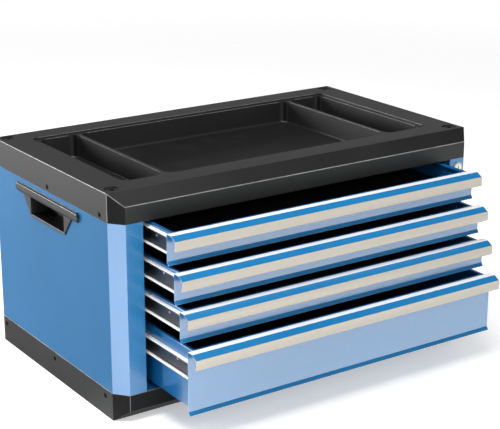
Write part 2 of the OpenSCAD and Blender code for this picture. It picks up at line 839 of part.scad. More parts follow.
// Bar with a slot for the cam's pin and one finger for each drawer
module lock_bar() {
  a = 45;
  slot_z = lock_z - crank_r * sin(a);
  slot_low_x = lock_x - crank_r - pin_r - pin_gap;
  slot_high_x = lock_x - crank_r * cos(a) + pin_r + pin_gap;
  color([0.7, 0.71, 0.73])
  difference() {
    union() {
      block([bar_x, bar_y, finger_top[3] - finger_h - 8],
        [bar_x + lock_bar_w, bar_y + bar_t, slot_z + pin_r + pin_gap + 6]);
      for (z = finger_top)
        block([half_w - rail_x - finger_reach, bar_y, z - finger_h], [bar_x + 1, bar_y + bar_t, z]);
    }
    block([slot_low_x, bar_y - 1, slot_z - pin_r - pin_gap],
      [slot_high_x, bar_y + bar_t + 1, slot_z + pin_r + pin_gap]);
  }
}

// Two guides on the upright, level with the second and fourth slides
module lock_bar_guides() {
  wall = 2;
  color([0.1, 0.1, 0.1])
  for (i = [1, 3])
    difference() {
      block([half_w - post_w, bar_y - wall, slide_z[i] - 6],
        [bar_x + lock_bar_w + guide_gap + wall, bar_y + bar_t + wall, slide_z[i] + 6]);
      block([bar_x - guide_gap, bar_y - guide_gap, slide_z[i] - 7],
        [bar_x + lock_bar_w + guide_gap, bar_y + bar_t + guide_gap, slide_z[i] + 7]);
    }
}

// ---- Nodes ----

plinth();
floor_panel();
left_side_panel();
right_side_panel();
back_panel();
top_panel();
left_upright();
right_upright();
top_tray();
left_handle();
right_handle();
tray_screws();
left_screws();
right_screws();
lock_housing();
lock_bar_guides();
lock_plug();
lock_cam();
lock_bar();
cabinet_rail(0);  // cabinet_rail_1_left
mirror([1, 0, 0]) cabinet_rail(0);  // cabinet_rail_1_right
cabinet_rail(1);  // cabinet_rail_2_left
mirror([1, 0, 0]) cabinet_rail(1);  // cabinet_rail_2_right
cabinet_rail(2);  // cabinet_rail_3_left
mirror([1, 0, 0]) cabinet_rail(2);  // cabinet_rail_3_right
cabinet_rail(3);  // cabinet_rail_4_left
mirror([1, 0, 0]) cabinet_rail(3);  // cabinet_rail_4_right
ball_cage(0);  // ball_cage_1_left
mirror([1, 0, 0]) ball_cage(0);  // ball_cage_1_right
ball_cage(1);  // ball_cage_2_left
mirror([1, 0, 0]) ball_cage(1);  // ball_cage_2_right
ball_cage(2);  // ball_cage_3_left
mirror([1, 0, 0]) ball_cage(2);  // ball_cage_3_right
ball_cage(3);  // ball_cage_4_left
mirror([1, 0, 0]) ball_cage(3);  // ball_cage_4_right
drawer_box(0);  // drawer_1_box
drawer_front(0);  // drawer_1_front
drawer_strip(0);  // drawer_1_strip
drawer_mat(0);  // drawer_1_mat
drawer_rail(0);  // drawer_1_rail_left
mirror([1, 0, 0]) drawer_rail(0);  // drawer_1_rail_right
drawer_box(1);  // drawer_2_box
drawer_front(1);  // drawer_2_front
drawer_strip(1);  // drawer_2_strip
drawer_mat(1);  // drawer_2_mat
drawer_rail(1);  // drawer_2_rail_left
mirror([1, 0, 0]) drawer_rail(1);  // drawer_2_rail_right
drawer_box(2);  // drawer_3_box
drawer_front(2);  // drawer_3_front
drawer_strip(2);  // drawer_3_strip
drawer_mat(2);  // drawer_3_mat
drawer_rail(2);  // drawer_3_rail_left
mirror([1, 0, 0]) drawer_rail(2);  // drawer_3_rail_right
drawer_box(3);  // drawer_4_box
drawer_front(3);  // drawer_4_front
drawer_strip(3);  // drawer_4_strip
drawer_mat(3);  // drawer_4_mat
drawer_rail(3);  // drawer_4_rail_left
mirror([1, 0, 0]) drawer_rail(3);  // drawer_4_rail_right
wall_catch();  // drawer_4_catch
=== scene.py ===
# %% [markdown]
# # A portable tool box with drawers
#
# The box is a folded steel cabinet between two black mouldings. Four drawers
# run out of it on ball slides, and two grips carry it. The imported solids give
# every size and place, so this file only finishes them: a camera and a studio,
# the finishes, and new pieces where a solid is too plain.

# %% Load the solids
import json
import math

import bmesh
import bpy
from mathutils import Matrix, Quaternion, Vector


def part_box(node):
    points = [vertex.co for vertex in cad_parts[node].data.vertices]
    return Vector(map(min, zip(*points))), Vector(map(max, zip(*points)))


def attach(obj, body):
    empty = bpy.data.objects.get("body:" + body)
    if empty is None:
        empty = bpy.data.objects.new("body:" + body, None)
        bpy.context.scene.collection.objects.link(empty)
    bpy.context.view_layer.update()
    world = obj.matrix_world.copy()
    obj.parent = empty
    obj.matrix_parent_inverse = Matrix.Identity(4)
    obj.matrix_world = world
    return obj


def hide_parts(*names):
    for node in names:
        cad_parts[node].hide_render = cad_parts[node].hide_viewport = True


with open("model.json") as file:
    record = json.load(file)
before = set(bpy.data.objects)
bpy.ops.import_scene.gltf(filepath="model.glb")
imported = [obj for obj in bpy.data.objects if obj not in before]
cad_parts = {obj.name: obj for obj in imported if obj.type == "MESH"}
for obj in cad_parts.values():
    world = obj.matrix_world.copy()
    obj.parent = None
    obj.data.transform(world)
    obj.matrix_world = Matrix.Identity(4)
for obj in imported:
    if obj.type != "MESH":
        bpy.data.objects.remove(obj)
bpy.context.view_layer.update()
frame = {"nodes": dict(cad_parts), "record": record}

MM = 0.001
nodes = frame["nodes"]
record = frame["record"]
bodies = record["behaviour"]["bodies"]
body_of = {name: body for body, names in bodies.items() for name in names}
slot_of = {part["node"]: part["material_slot"] for part in record["subparts"]}

# %% [markdown]
# ## Camera
#
# The photograph looks down on the front and the left side at once, from about
# two and a half metres. A long lens there keeps the box's edges nearly
# parallel, as the photograph does. The angles and the distance come from
# fitting the box's corners to the photograph. The camera has no shift, so it
# serves the views from other sides too.

# %% Place the camera
YAW, PITCH = math.radians(34.18), math.radians(17.85)
EYE = Vector((-1.273, -1.917, 0.959))
SENSOR = 36
FOCAL_PIXELS, FRAME_PIXELS = 1422, 500
NEAREST, FURTHEST = 0.05, 60

bpy.ops.object.camera_add(location=EYE)
camera = bpy.context.object
camera.name = "camera"
look = Vector((math.sin(YAW) * math.cos(PITCH), math.cos(YAW) * math.cos(PITCH), -math.sin(PITCH)))
camera.rotation_mode = "QUATERNION"
camera.rotation_quaternion = look.to_track_quat("-Z", "Y")
camera.data.sensor_width = SENSOR
camera.data.lens = SENSOR * (FOCAL_PIXELS / FRAME_PIXELS)
camera.data.clip_start, camera.data.clip_end = NEAREST, FURTHEST
bpy.context.scene.camera = camera
print("lens in millimetres:", round(camera.data.lens, 1))

# %% [markdown]
# ## Shader nodes as sums
#
# A material is a small calculation for each point of a surface. Drawing it as
# linked boxes is slow to read, so a wire between nodes gets Python's own
# operators here: `1 - mask` adds a Math node and returns its wire. Any other
# node comes from one method, `add`, with its settings and its sockets.

# %% A wire and a shader
class Wire:
    """The output of a node, which can be added, multiplied and so on."""

    def __init__(self, shader, socket):
        self.shader, self.socket = shader, socket

    def maths(self, operation, first, second):
        return self.shader.add("Math", {"operation": operation}, {0: first, 1: second})

    def __add__(self, other):
        return self.maths("ADD", self, other)

    def __sub__(self, other):
        return self.maths("SUBTRACT", self, other)

    def __rsub__(self, other):
        return self.maths("SUBTRACT", other, self)

    def __mul__(self, other):
        return self.maths("MULTIPLY", self, other)

    def __or__(self, other):
        return self.maths("MAXIMUM", self, other)

    __radd__, __rmul__ = __add__, __mul__


class Shader:
    """A node tree that starts empty, with one method that makes any node."""

    def __init__(self, tree):
        self.tree = tree
        tree.nodes.clear()

    def add(self, kind, settings=None, values=None, output=0):
        node = self.tree.nodes.new("ShaderNode" + kind)
        for key, value in (settings or {}).items():
            setattr(node, key, value)
        for key, value in (values or {}).items():
            if isinstance(value, Wire):
                self.tree.links.new(value.socket, node.inputs[key])
            else:
                node.inputs[key].default_value = value
        return Wire(self, node.outputs[output]) if node.outputs else None

    def blend(self, factor, first, second):
        """A colour between two others."""
        return self.add("Mix", {"data_type": "RGBA"}, {0: factor, 6: first, 7: second}, 2)

    def ramp(self, value, low, high, to_low=0.0, to_high=1.0):
        """A value taken from one span to another and kept inside it."""
        return self.add("MapRange", None, {0: value, 1: low, 2: high, 3: to_low, 4: to_high})

    def place(self):
        """The point's place on the object, in metres."""
        return self.add("TexCoord", output=3)

    def noise(self, scale, detail=3.0, stretch=(1, 1, 1)):
        """Even noise about one half, longer along an axis of low stretch."""
        place = self.add("Mapping", None, {"Vector": self.place(), "Scale": stretch})
        return self.add("TexNoise", None, {"Vector": place, "Scale": scale, "Detail": detail})

    def part(self, vector, axis):
        """One number of a vector: its share along X, Y or Z."""
        return self.add("SeparateXYZ", None, {0: vector}, axis)

    def facing(self, axis):
        """Which way the surface looks: the share of its normal along X, Y or Z."""
        return self.part(self.add("TexCoord", output=1), axis)

    def wear_and_highlight(self):
        """One on the fine bevels of a rubbed edge, which also carry a painted highlight, and nought
        elsewhere.
        """
        return self.add("Attribute", {"attribute_name": "wear_and_highlight"}, output=2)

    def rays(self, *names):
        """Which kind of ray asks, as one wire for each kind that is named."""
        path = self.tree.nodes.new("ShaderNodeLightPath")
        return [Wire(self, path.outputs["Is %s Ray" % name]) for name in names]


X, Y, Z = 0, 1, 2


def grey(value):
    return (value, value, value, 1.0)


def tint(colour, gain=1.0, lift=0.0):
    """A colour made lighter or darker, as a socket wants it."""
    return (*(min(1.0, c * gain + lift) for c in colour), 1.0)


print("a blue at half its strength:", tint((0.01, 0.23, 0.56), 0.5))

# %% [markdown]
# ## Floor
#
# The photograph has a plain white ground. A floor lit only by lamps comes out
# grey. Stronger lamps would bleach the box, so the floor adds a little light of
# its own instead, but only for the camera's rays and for reflections, and it
# fades into a white world further out. The box gets no extra light from that,
# and its soft shadow stays on the floor. In reflections only the floor in front
# of the box is bright. Beside and behind it the floor is darker, which keeps
# the side panel deep blue and the drawer fronts pale.

# %% Lay the floor
FLOOR_RADIUS = 4
FADE_START, FADE_END = 1.3, 3.2
BRIGHT_BEFORE, DARK_BEHIND = -0.25, -0.05
SEEN_LIGHT, MIRRORED_LIGHT = 0.42, 0.4

bpy.ops.mesh.primitive_circle_add(vertices=96, radius=FLOOR_RADIUS, fill_type="NGON")
floor = bpy.context.object
floor.name = "floor"
floor_finish = bpy.data.materials.new("floor")
floor_finish.use_nodes = True
s = Shader(floor_finish.node_tree)
camera_ray, glossy_ray = s.rays("Camera", "Glossy")
far = s.add("VectorMath", {"operation": "LENGTH"}, {0: s.place()}, 1)
behind = s.ramp(s.part(s.place(), Y), BRIGHT_BEFORE, DARK_BEHIND)
matt = s.add("BsdfDiffuse", None, {"Color": s.blend(behind * glossy_ray, grey(0.8), grey(0.3))})
light = camera_ray * SEEN_LIGHT + glossy_ray * MIRRORED_LIGHT * (1 - behind)
lift = s.add("Emission", None, {"Color": grey(1.0), "Strength": light})
near = s.add("AddShader", None, {0: matt, 1: lift})
clear_away = s.add("BsdfTransparent")
surface = s.add("MixShader", None, {0: s.ramp(far, FADE_START, FADE_END), 1: near, 2: clear_away})
s.add("OutputMaterial", None, {"Surface": surface})
floor.data.materials.append(floor_finish)
print("floor:", 2 * FLOOR_RADIUS, "metres across")

# %% [markdown]
# ## World
#
# The camera sees a white world, so the picture's ground is white to its edges.
# Painted steel also mirrors what stands round it, and a studio isn't white all
# over. So reflections see white at the horizon, half of that towards the left
# rear, and nearly black overhead. Slanted faces then look deep blue and upright
# ones pale. All other rays get a plain grey, which is the soft fill light.

# %% Wrap the world round it
LEFT_REAR = (-0.62, 0.78, 0)
HORIZON_TOP, OVERHEAD = 0.08, 0.36
FILL_LIGHT = 0.4

world = bpy.data.worlds.new("studio")
bpy.context.scene.world = world
world.use_nodes = True
s = Shader(world.node_tree)
camera_ray, glossy_ray, through_ray = s.rays("Camera", "Glossy", "Transmission")
direction = s.add("TexCoord")
toward_rear = s.add("VectorMath", {"operation": "DOT_PRODUCT"}, {0: direction, 1: LEFT_REAR}, 1)
horizon = s.blend(s.ramp(toward_rear, 0.2, 0.9), grey(1.0), grey(0.5))
mirrored = s.blend(s.ramp(s.part(direction, Z), HORIZON_TOP, OVERHEAD), horizon, grey(0.04))
shown = s.blend(camera_ray | through_ray, mirrored, grey(1.0))
seen = s.add("Background", None, {"Color": shown, "Strength": 1.0})
ambient = s.add("Background", None, {"Color": grey(1.0), "Strength": FILL_LIGHT})
any_view = camera_ray | glossy_ray | through_ray
surface = s.add("MixShader", None, {0: any_view, 1: ambient, 2: seen})
s.add("OutputWorld", None, {"Surface": surface})
print("fill light:", FILL_LIGHT)

# %% [markdown]
# ## Lamps
#
# A studio lights steel with large soft lamps, because a small one would leave a
# hard glare. The first stands low to the left and behind, so the side is lit
# evenly and black plastic there turns grey, as it does at a shallow angle. The
# second stands in front and keeps the drawers clear. The third hangs high over
# the left front. It lights the tray and the flat top edges of the drawer
# fronts, whose near-white tone is a painted highlight. With the world they add
# up to a level at which a colour looks about as written.

# %% Three soft lamps
AIM = Vector((0, -0.07, 0.18))


def lamp(name, azimuth, elevation, distance, width, height, power):
    """A flat lamp that points at the middle of the box."""
    a, e = math.radians(azimuth), math.radians(elevation)
    outward = Vector((math.sin(a) * math.cos(e), -math.cos(a) * math.cos(e), math.sin(e)))
    place = AIM + distance * outward
    bpy.ops.object.light_add(type="AREA", location=place)
    light = bpy.context.object
    light.name = name
    light.rotation_mode = "QUATERNION"
    light.rotation_quaternion = (AIM - place).to_track_quat("-Z", "Y")
    light.data.shape, light.data.size, light.data.size_y = "RECTANGLE", width, height
    light.data.energy = power
    print(name, "lamp:", power, "watts from", distance, "metres")


lamp("side", azimuth=-132, elevation=10, distance=2.6, width=1.8, height=0.9, power=72)
lamp("front", azimuth=-12, elevation=24, distance=2.8, width=1.4, height=1.4, power=18)
lamp("overhead", azimuth=-50, elevation=68, distance=2.4, width=1.2, height=1.2, power=52)

# %% [markdown]
# ## Finishes
#
# A finish is built from what makes it up: a base colour that drifts a little, a
# roughness that varies, fine relief, and light wear, whose pale edges are also a
# painted highlight. All patterns are fixed to the object in metres, so each has
# its real scale. Where the photograph's studio makes one paint look like
# several, the paint has a few tones here, which are painted light and shade.

# %% Helpers for finishes
finishes = {}


def start(name):
    """A new, empty finish."""
    material = bpy.data.materials.new(name)
    material.use_nodes = True
    finishes[name] = material
    return Shader(material.node_tree)


def close(s, colour, roughness, relief, strength, depth, fixed):
    """Joins colour, roughness and relief to the surface."""
    bump = s.add("Bump", None, {"Strength": strength, "Distance": depth, "Height": relief})
    values = {"Base Color": colour, "Roughness": roughness, "Normal": bump, **fixed}
    s.add("OutputMaterial", None, {"Surface": s.add("BsdfPrincipled", None, values)})


# %% [markdown]
# ### Enamel
#
# The steel is stove-enamelled: a saturated blue under a hard gloss. Gloss alone
# would look like glass, so the surface has the faint orange peel of sprayed
# paint, thin polishing scratches that run with the sheet, and pale edges, which
# are partly rubbed paint and partly a painted highlight. The index says how
# strongly a face mirrors, and real paint has about 1.5. The photograph's bright
# studio shows in the drawer fronts and the cut corners and hardly in the side.
# Three lamps can't repeat that studio, so those faces have a higher index
# instead, and the blue comes in lit and shaded copies: a darker blue on the side
# is painted shade, and paler blues on the cut corner and the post are painted
# light. The fronts' flat top edges mirror a lamp there and are near white, so
# they get a near-white tone, a painted highlight.

# %% Blue enamels
RUBBED_BLUE_AND_HIGHLIGHT, BARE_EDGE_AND_HIGHLIGHT = 0.45, (0.97, 0.98, 1.0, 1.0)


def enamel(name, colour, index, coat, rough=0.16):
    s = start(name)
    drift = s.noise(5.0)
    peel = s.noise(420.0, detail=2.0)
    scratches = s.ramp(s.noise(160.0, detail=6.0, stretch=(1, 1, 0.03)), 0.66, 0.8)
    patches = s.ramp(s.noise(40.0, detail=4.0), 0.35, 0.6, to_low=0.5)
    tone = s.blend(s.ramp(drift, 0.3, 0.7), tint(colour, 0.94), tint(colour, 1.06))
    tone = s.blend(scratches * 0.1, tone, tint(colour, 1.3, 0.03))
    # Pale edges: partly rubbed paint, partly a painted highlight.
    tone = s.blend(s.wear_and_highlight() * patches * RUBBED_BLUE_AND_HIGHLIGHT, tone, BARE_EDGE_AND_HIGHLIGHT)
    roughness = s.ramp(drift, 0.25, 0.75, rough, rough + 0.06) + scratches * 0.08
    close(s, tone, roughness, peel, strength=0.08, depth=0.05 * MM, fixed={
        "IOR": index, "Coat Weight": coat, "Coat Roughness": 0.05, "Coat IOR": 1.6})
    print(name, "index", index)


enamel("blue_steel", (0.01, 0.23, 0.56), index=3.0, coat=1.0)
# A darker copy of the blue: painted shade on the side panels.
enamel("side_painted_shade", (0.004, 0.115, 0.28), index=1.5, coat=0.3)
enamel("inner_steel", (0.01, 0.13, 0.34), index=1.8, coat=0.5)
enamel("front_steel", (0.004, 0.2, 0.48), index=2.45, coat=1.0)
enamel("drawer_steel", (0.006, 0.12, 0.32), index=1.8, coat=0.5)
enamel("dark_steel", (0.008, 0.05, 0.13), index=1.6, coat=0.5)
# Paler copies of the blue: painted light on the cut corners and the posts.
enamel("cut_painted_light", (0.003, 0.2, 0.52), index=2.5, coat=0.7, rough=0.22)
enamel("post_painted_light", (0.003, 0.19, 0.45), index=2.0, coat=0.3, rough=0.3)
# Near white: a painted highlight on the fronts' flat top edges.
enamel("lip_painted_highlight", (0.95, 0.97, 1.0), index=1.5, coat=0.3)

# %% [markdown]
# ### Moulded plastic
#
# The tray, base and grips are black plastic from a tool with a spark-eroded
# grain. A plain black would hide their shape, so the grain is real relief, and
# faint rubs run along the box. Edges that hands rub get smoother and lighter,
# except where they look down, and the lighter grey on them is partly wear and
# partly a painted highlight. Faces that mirror the dark room have a deeper
# black with a low index, and that deeper black is painted shade.

# %% Black mouldings
RUBBED_BLACK_AND_HIGHLIGHT = 0.26


def plastic(name, colour, grain=0.25, smooth=0.41, edge=1.0, index=1.5):
    s = start(name)
    drift = s.noise(7.0)
    pebble = s.noise(1500.0)
    rubs = s.ramp(s.noise(36.0, detail=8.0, stretch=(1, 0.25, 1)), 0.62, 0.76)
    patches = s.ramp(s.noise(60.0, detail=4.0), 0.35, 0.6, to_low=0.7)
    from_above = s.ramp(s.facing(Z), -0.3, -0.1)
    tone = s.blend(s.ramp(drift, 0.3, 0.7), tint(colour, 0.88), tint(colour, 1.12))
    tone = s.blend(rubs * 0.2, tone, tint(colour, 1.5, 0.004))
    # Lighter edges, not on faces that look down: partly wear, partly a painted highlight.
    tone = s.blend(s.wear_and_highlight() * patches * edge * from_above, tone, grey(RUBBED_BLACK_AND_HIGHLIGHT))
    roughness = s.ramp(drift, 0.25, 0.75, smooth, smooth + 0.06) - rubs * 0.05 - s.wear_and_highlight() * 0.15
    close(s, tone, roughness, pebble, strength=grain, depth=0.12 * MM, fixed={"IOR": index})
    print(name, "index", index)


plastic("moulding", (0.013, 0.013, 0.0132), index=1.48)
# A deeper black with a low index: painted shade for faces that lie in shade or mirror the dark room.
plastic("painted_shade_moulding", (0.006, 0.006, 0.0062), index=1.25)
plastic("grip", (0.02, 0.02, 0.0205), edge=0.0)
plastic("guide", (0.02, 0.02, 0.02), grain=0.1)
plastic("screw", (0.002, 0.002, 0.002), grain=0.05, smooth=0.3, edge=0.0, index=1.15)

# %% [markdown]
# ### Bare metals
#
# The lock's bar and cam, the ball cages and the slides' screws are plated steel,
# and the grip strips are brushed aluminium with a warm clear anodising. They are
# rolled or brushed in one direction, and a plain grey metal wouldn't show that.
# So a noise that is drawn out in that direction varies the colour, the roughness
# and the relief. The lock's ring and face are polished all over, so their noise
# is even.

# %% Bright metals
ALONG_Y, ALONG_X, EVEN = (1, 0.02, 1), (0.02, 1, 1), (1, 1, 1)


def metal(name, colour, smooth, along=ALONG_Y, share=1.0):
    s = start(name)
    drift = s.noise(90.0, stretch=along)
    rolled = s.noise(700.0, stretch=along)
    tone = s.blend(s.ramp(drift, 0.3, 0.7), tint(colour, 0.88), tint(colour))
    roughness = s.ramp(rolled, 0.25, 0.75, smooth - 0.05, smooth + 0.1)
    close(s, tone, roughness, rolled, strength=0.15, depth=0.04 * MM, fixed={"Metallic": share})
    print(name, "roughness about", smooth)


metal("zinc", (0.6, 0.6, 0.6), smooth=0.3)
metal("lock_ring", (0.5, 0.49, 0.47), smooth=0.24, along=EVEN)
metal("cage", (0.5, 0.48, 0.42), smooth=0.35)
metal("lock_face", (0.85, 0.82, 0.76), smooth=0.25, along=EVEN)
metal("strip", (0.6, 0.56, 0.48), smooth=0.36, along=ALONG_X, share=0.35)

# %% [markdown]
# ### Slides
#
# A ball slide is one rolled strip, but its lips shine and its web looks dark,
# because the web faces the dark gap beside the drawer. So the lips get a
# near-white tone, a painted highlight, and the web a dark tone in blotches, a
# painted shade. Two materials would need the faces sorted by hand. The
# surface's own direction tells them apart: what looks sideways is web, and the
# rest is lip.

# %% Slide steel
def slide(name, lip, web):
    s = start(name)
    sideways = s.facing(X)
    is_web = s.ramp(sideways * sideways, 0.5, 0.8)
    rolled = s.noise(500.0, stretch=ALONG_Y)
    web_blotches = s.ramp(s.noise(18.0, detail=4.0), 0.3, 0.7, to_low=0.7)
    # Lips near white as a painted highlight, and the web dark as painted shade.
    tone = s.blend(is_web, tint(lip), s.blend(web_blotches, tint(web, 0.6), tint(web)))
    roughness = s.ramp(rolled, 0.25, 0.75, 0.2, 0.28) + is_web * 0.14
    close(s, tone, roughness, rolled, strength=0.05, depth=0.02 * MM, fixed={"Metallic": is_web})
    print(name, "has bright lips and a dark web")


slide("slide_steel", lip=(0.8, 0.8, 0.8), web=(0.1, 0.1, 0.105))
slide("drawer_slide", lip=(1.0, 1.0, 1.0), web=(0.11, 0.11, 0.12))

# %% [markdown]
# ### Studded faces
#
# The mats are thin black rubber with a fine grid of studs, and the moulded
# compartments have such a grid on their floors. The studs are far too many to
# model, so a square cell pattern gives their relief and their tone.

# %% Rubber and compartment floors
PITCH_OF_STUDS = 4.8 * MM


def studded(name, gap, stud, index):
    s = start(name)
    cell = s.add("TexVoronoi", {"distance": "CHEBYCHEV"},
                 {"Vector": s.place(), "Scale": 1 / PITCH_OF_STUDS, "Randomness": 0.0})
    dust = s.ramp(s.noise(14.0, detail=5.0), 0.55, 0.8)
    tone = s.blend(s.ramp(cell, 0.25, 0.42), grey(stud), grey(gap))
    tone = s.blend(dust * 0.1, tone, grey(0.06))
    roughness = s.ramp(dust, 0, 1, 0.5, 0.65)
    close(s, tone, roughness, 1 - cell, strength=0.35, depth=0.5 * MM, fixed={"IOR": index})
    print(name, "studs every", round(PITCH_OF_STUDS / MM, 1), "millimetres")


studded("mat", gap=0.002, stud=0.02, index=1.35)
studded("compartment_floor", gap=0.008, stud=0.02, index=1.45)

# %% [markdown]
# ### Dress the solids
#
# The record names a finish for every node. Each solid gets it here, so a solid
# that no new piece replaces is finished too.

# %% Give every solid its finish
for name, solid in nodes.items():
    for slot in solid.material_slots:
        slot.material = finishes[slot_of[name]]
print("finishes:", len(finishes))

# %% [markdown]
# ## Modelling by hand, in code
#
# New pieces are modelled as with the mouse: a primitive, then edit mode. Code
# has to say what is selected, so one helper clears the selection and another
# picks corners, edges or faces by where they are.

# %% Helpers for modelling
SMOOTH_BELOW = math.radians(35)


def clear():
    """Leaves edit mode and selects nothing."""
    if bpy.context.object and bpy.context.object.mode != "OBJECT":
        bpy.ops.object.mode_set(mode="OBJECT")
    bpy.ops.object.select_all(action="DESELECT")


def activate(piece):
    clear()
    piece.select_set(True)
    bpy.context.view_layer.objects.active = piece


def edit():
    bpy.ops.object.mode_set(mode="EDIT")
    bpy.ops.mesh.select_all(action="SELECT")


def pick(kind, test):
    """In edit mode, selects the corners, edges or faces that pass a test."""
    bpy.ops.mesh.select_mode(type=kind)
    bpy.ops.mesh.select_all(action="DESELECT")
    shape = bmesh.from_edit_mesh(bpy.context.object.data)
    parts = {"VERT": shape.verts, "EDGE": shape.edges, "FACE": shape.faces}[kind]
    chosen = [part for part in parts if test(part)]
    for part in chosen:
        part.select_set(True)
    shape.select_flush_mode()
    bmesh.update_edit_mesh(bpy.context.object.data)
    return len(chosen)


def modify(kind, **settings):
    """Adds a modifier to the active piece and applies it."""
    modifier = bpy.context.object.modifiers.new(kind.lower(), kind)
    for key, value in settings.items():
        setattr(modifier, key, value)
    bpy.ops.object.modifier_apply(modifier=modifier.name)


def finish(name, slot, body, replaced=(), look=None):
    """Names a piece, smooths it, gives it its finish and fixes it to a body."""
    if bpy.context.object.mode != "OBJECT":
        bpy.ops.object.mode_set(mode="OBJECT")
    piece = bpy.context.object
    bpy.ops.object.transform_apply(location=True, rotation=True, scale=True)
    bpy.ops.object.shade_smooth_by_angle(angle=SMOOTH_BELOW)
    modify("WEIGHTED_NORMAL", keep_sharp=True)
    piece.name = piece.data.name = name
    piece.data.materials.clear()
    piece.data.materials.append(finishes[look or slot])
    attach(piece, body)
    if replaced:
        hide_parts(*replaced)
    return piece


print("bodies to ride on:", len(bodies))

# %% [markdown]
# ## Clean copies
#
# The solids have sharp corners, and real ones catch the light on a small
# radius. Modelling every piece again would only repeat its solid, so a copy of
# the solid is merged and cleaned instead, and its edges are bevelled. The copy
# starts with two empty finishes, because a bevel can mark the faces that it
# makes with the second one.

# %% A clean copy of a solid
PLAIN, WEAR_AND_HIGHLIGHT = 0, 1
SAME_PLACE, SAME_FACE = 0.002 * MM, math.radians(0.4)


def merged_copy(node):
    """A copy of a solid with its loose triangles joined into clean faces."""
    clear()
    piece = bpy.data.objects.new(node + "_copy", nodes[node].data.copy())
    bpy.context.scene.collection.objects.link(piece)
    activate(piece)
    bpy.ops.mesh.customdata_custom_splitnormals_clear()
    piece.data.materials.clear()
    while len(piece.data.materials) <= WEAR_AND_HIGHLIGHT:
        piece.data.materials.append(None)
    for face in piece.data.polygons:
        face.material_index = PLAIN
    edit()
    bpy.ops.mesh.remove_doubles(threshold=SAME_PLACE)
    bpy.ops.mesh.dissolve_limited(angle_limit=SAME_FACE)


print("corners merge within", SAME_PLACE / MM, "millimetres")

# %% [markdown]
# ## Rubbed and highlit edges
#
# Hands and benches rub the outer edges of the mouldings and grips, and the rims
# of the compartments, to a thin lighter line. That line is also a painted
# highlight, as a rounded edge catches the light. Painting that by hand would
# need an image. Here a test picks those edges, and the faces of their bevels are
# marked as worn and highlit. At the tray's upright corners only the edges at
# the side panels are rubbed. Edges on the underside aren't.

# %% Find and mark the rubbed and highlit edges
RIM_X, RIM_FRONT, RIM_BACK = 318 * MM, -172 * MM, 196 * MM
SIDE_FACE, TRAY_FOOT, POCKET_RIM = 340 * MM, 315 * MM, 350 * MM
LONG_EDGE = 12 * MM
RIM_ANGLE, CORNER_ANGLE = math.radians(42), math.radians(35)


def is_rim(edge):
    """True for a long outer edge on the rim of the box, where hands rub it and a highlight is
    painted.
    """
    if len(edge.link_faces) != 2 or not edge.is_convex or edge.calc_length() < LONG_EDGE:
        return False
    first, second = edge.verts[0].co, edge.verts[1].co
    middle, angle = (first + second) / 2, edge.calc_face_angle(0)
    upright = abs(first.z - second.z) > 0.9 * edge.calc_length()
    if upright and middle.z > TRAY_FOOT:
        return abs(middle.x) > SIDE_FACE and angle > CORNER_ANGLE
    outside = abs(middle.x) > RIM_X or middle.y < RIM_FRONT or middle.y > RIM_BACK
    underside = abs(middle.z - TRAY_FOOT) < 1 * MM or middle.z < 1 * MM
    return ((outside and not underside) or middle.z > POCKET_RIM) and angle > RIM_ANGLE


def mark_wear_and_highlight(mesh):
    """Turns the marks that the bevels left on their faces into an attribute."""
    wear_and_highlight = mesh.attributes.new("wear_and_highlight", "FLOAT", "FACE")
    for face, mark in zip(mesh.polygons, wear_and_highlight.data):
        mark.value = face.material_index
        face.material_index = PLAIN


print("rubbed edges are longer than", round(LONG_EDGE / MM), "millimetres")

# %% [markdown]
# ## Folds
#
# Sheet steel has a small radius inside each fold and a larger one outside,
# bigger by the sheet's thickness. A bevel of one width for all edges would
# round the thin cut edges away. So a fold is told from a cut edge by its two
# faces, which are both wide. Folds at the tray's height stay sharp, as the tray
# hides them.

# %% Find the folds of a sheet
SHORTEST_FOLD, HIDDEN_BAND = 6 * MM, 1.5 * MM
LEAST_FOLD_DEGREES, WIDE_IN_SHEETS = 15, 2.2


def width_beside(face, edge):
    """How wide a face is, measured across it from the middle of an edge."""
    loop = next(loop for loop in face.loops if loop.edge == edge)
    start_at, end_at = loop.vert.co, loop.link_loop_next.vert.co
    along, half_way = (end_at - start_at).normalized(), (start_at + end_at) / 2
    across = face.normal.cross(along)
    widths = []
    for other in face.loops:
        first, second = other.vert.co - half_way, other.link_loop_next.vert.co - half_way
        left, right = first.dot(along), second.dot(along)
        if other.edge != edge and left * right <= 0 and left != right:
            widths.append((first + (second - first) * left / (left - right)).dot(across))
    return min((width for width in widths if width > 0), default=0)


def fold_of(edge, sheet):
    """A fold's angle and whether it is an outer one, or None for other edges."""
    if len(edge.link_faces) != 2 or edge.calc_length() < SHORTEST_FOLD:
        return None
    if min(corner.co.z for corner in edge.verts) > TRAY_FOOT - HIDDEN_BAND:
        return None
    angle = round(math.degrees(edge.calc_face_angle(0)))
    if angle < LEAST_FOLD_DEGREES:
        return None
    if min(width_beside(face, edge) for face in edge.link_faces) < WIDE_IN_SHEETS * sheet:
        return None
    return angle, edge.is_convex


print("a fold turns by at least", LEAST_FOLD_DEGREES, "degrees")

# %% [markdown]
# ## A rounded copy
#
# All the rounded pieces go through the same steps: copy the solid, round its
# folds by their radii, bevel its rubbed edges, and break every other sharp edge
# by a fine bevel. A piece with rubbed edges keeps the wear and the painted
# highlight to those. On all the others every fine bevel counts as worn, because
# paint is thin on an edge, and its pale line is also a painted highlight.

# %% Round a solid
FOLD_STEPS, RIM_STEPS, FINE_STEPS = 4, 3, 2
SHARP_EDGE = math.radians(40)


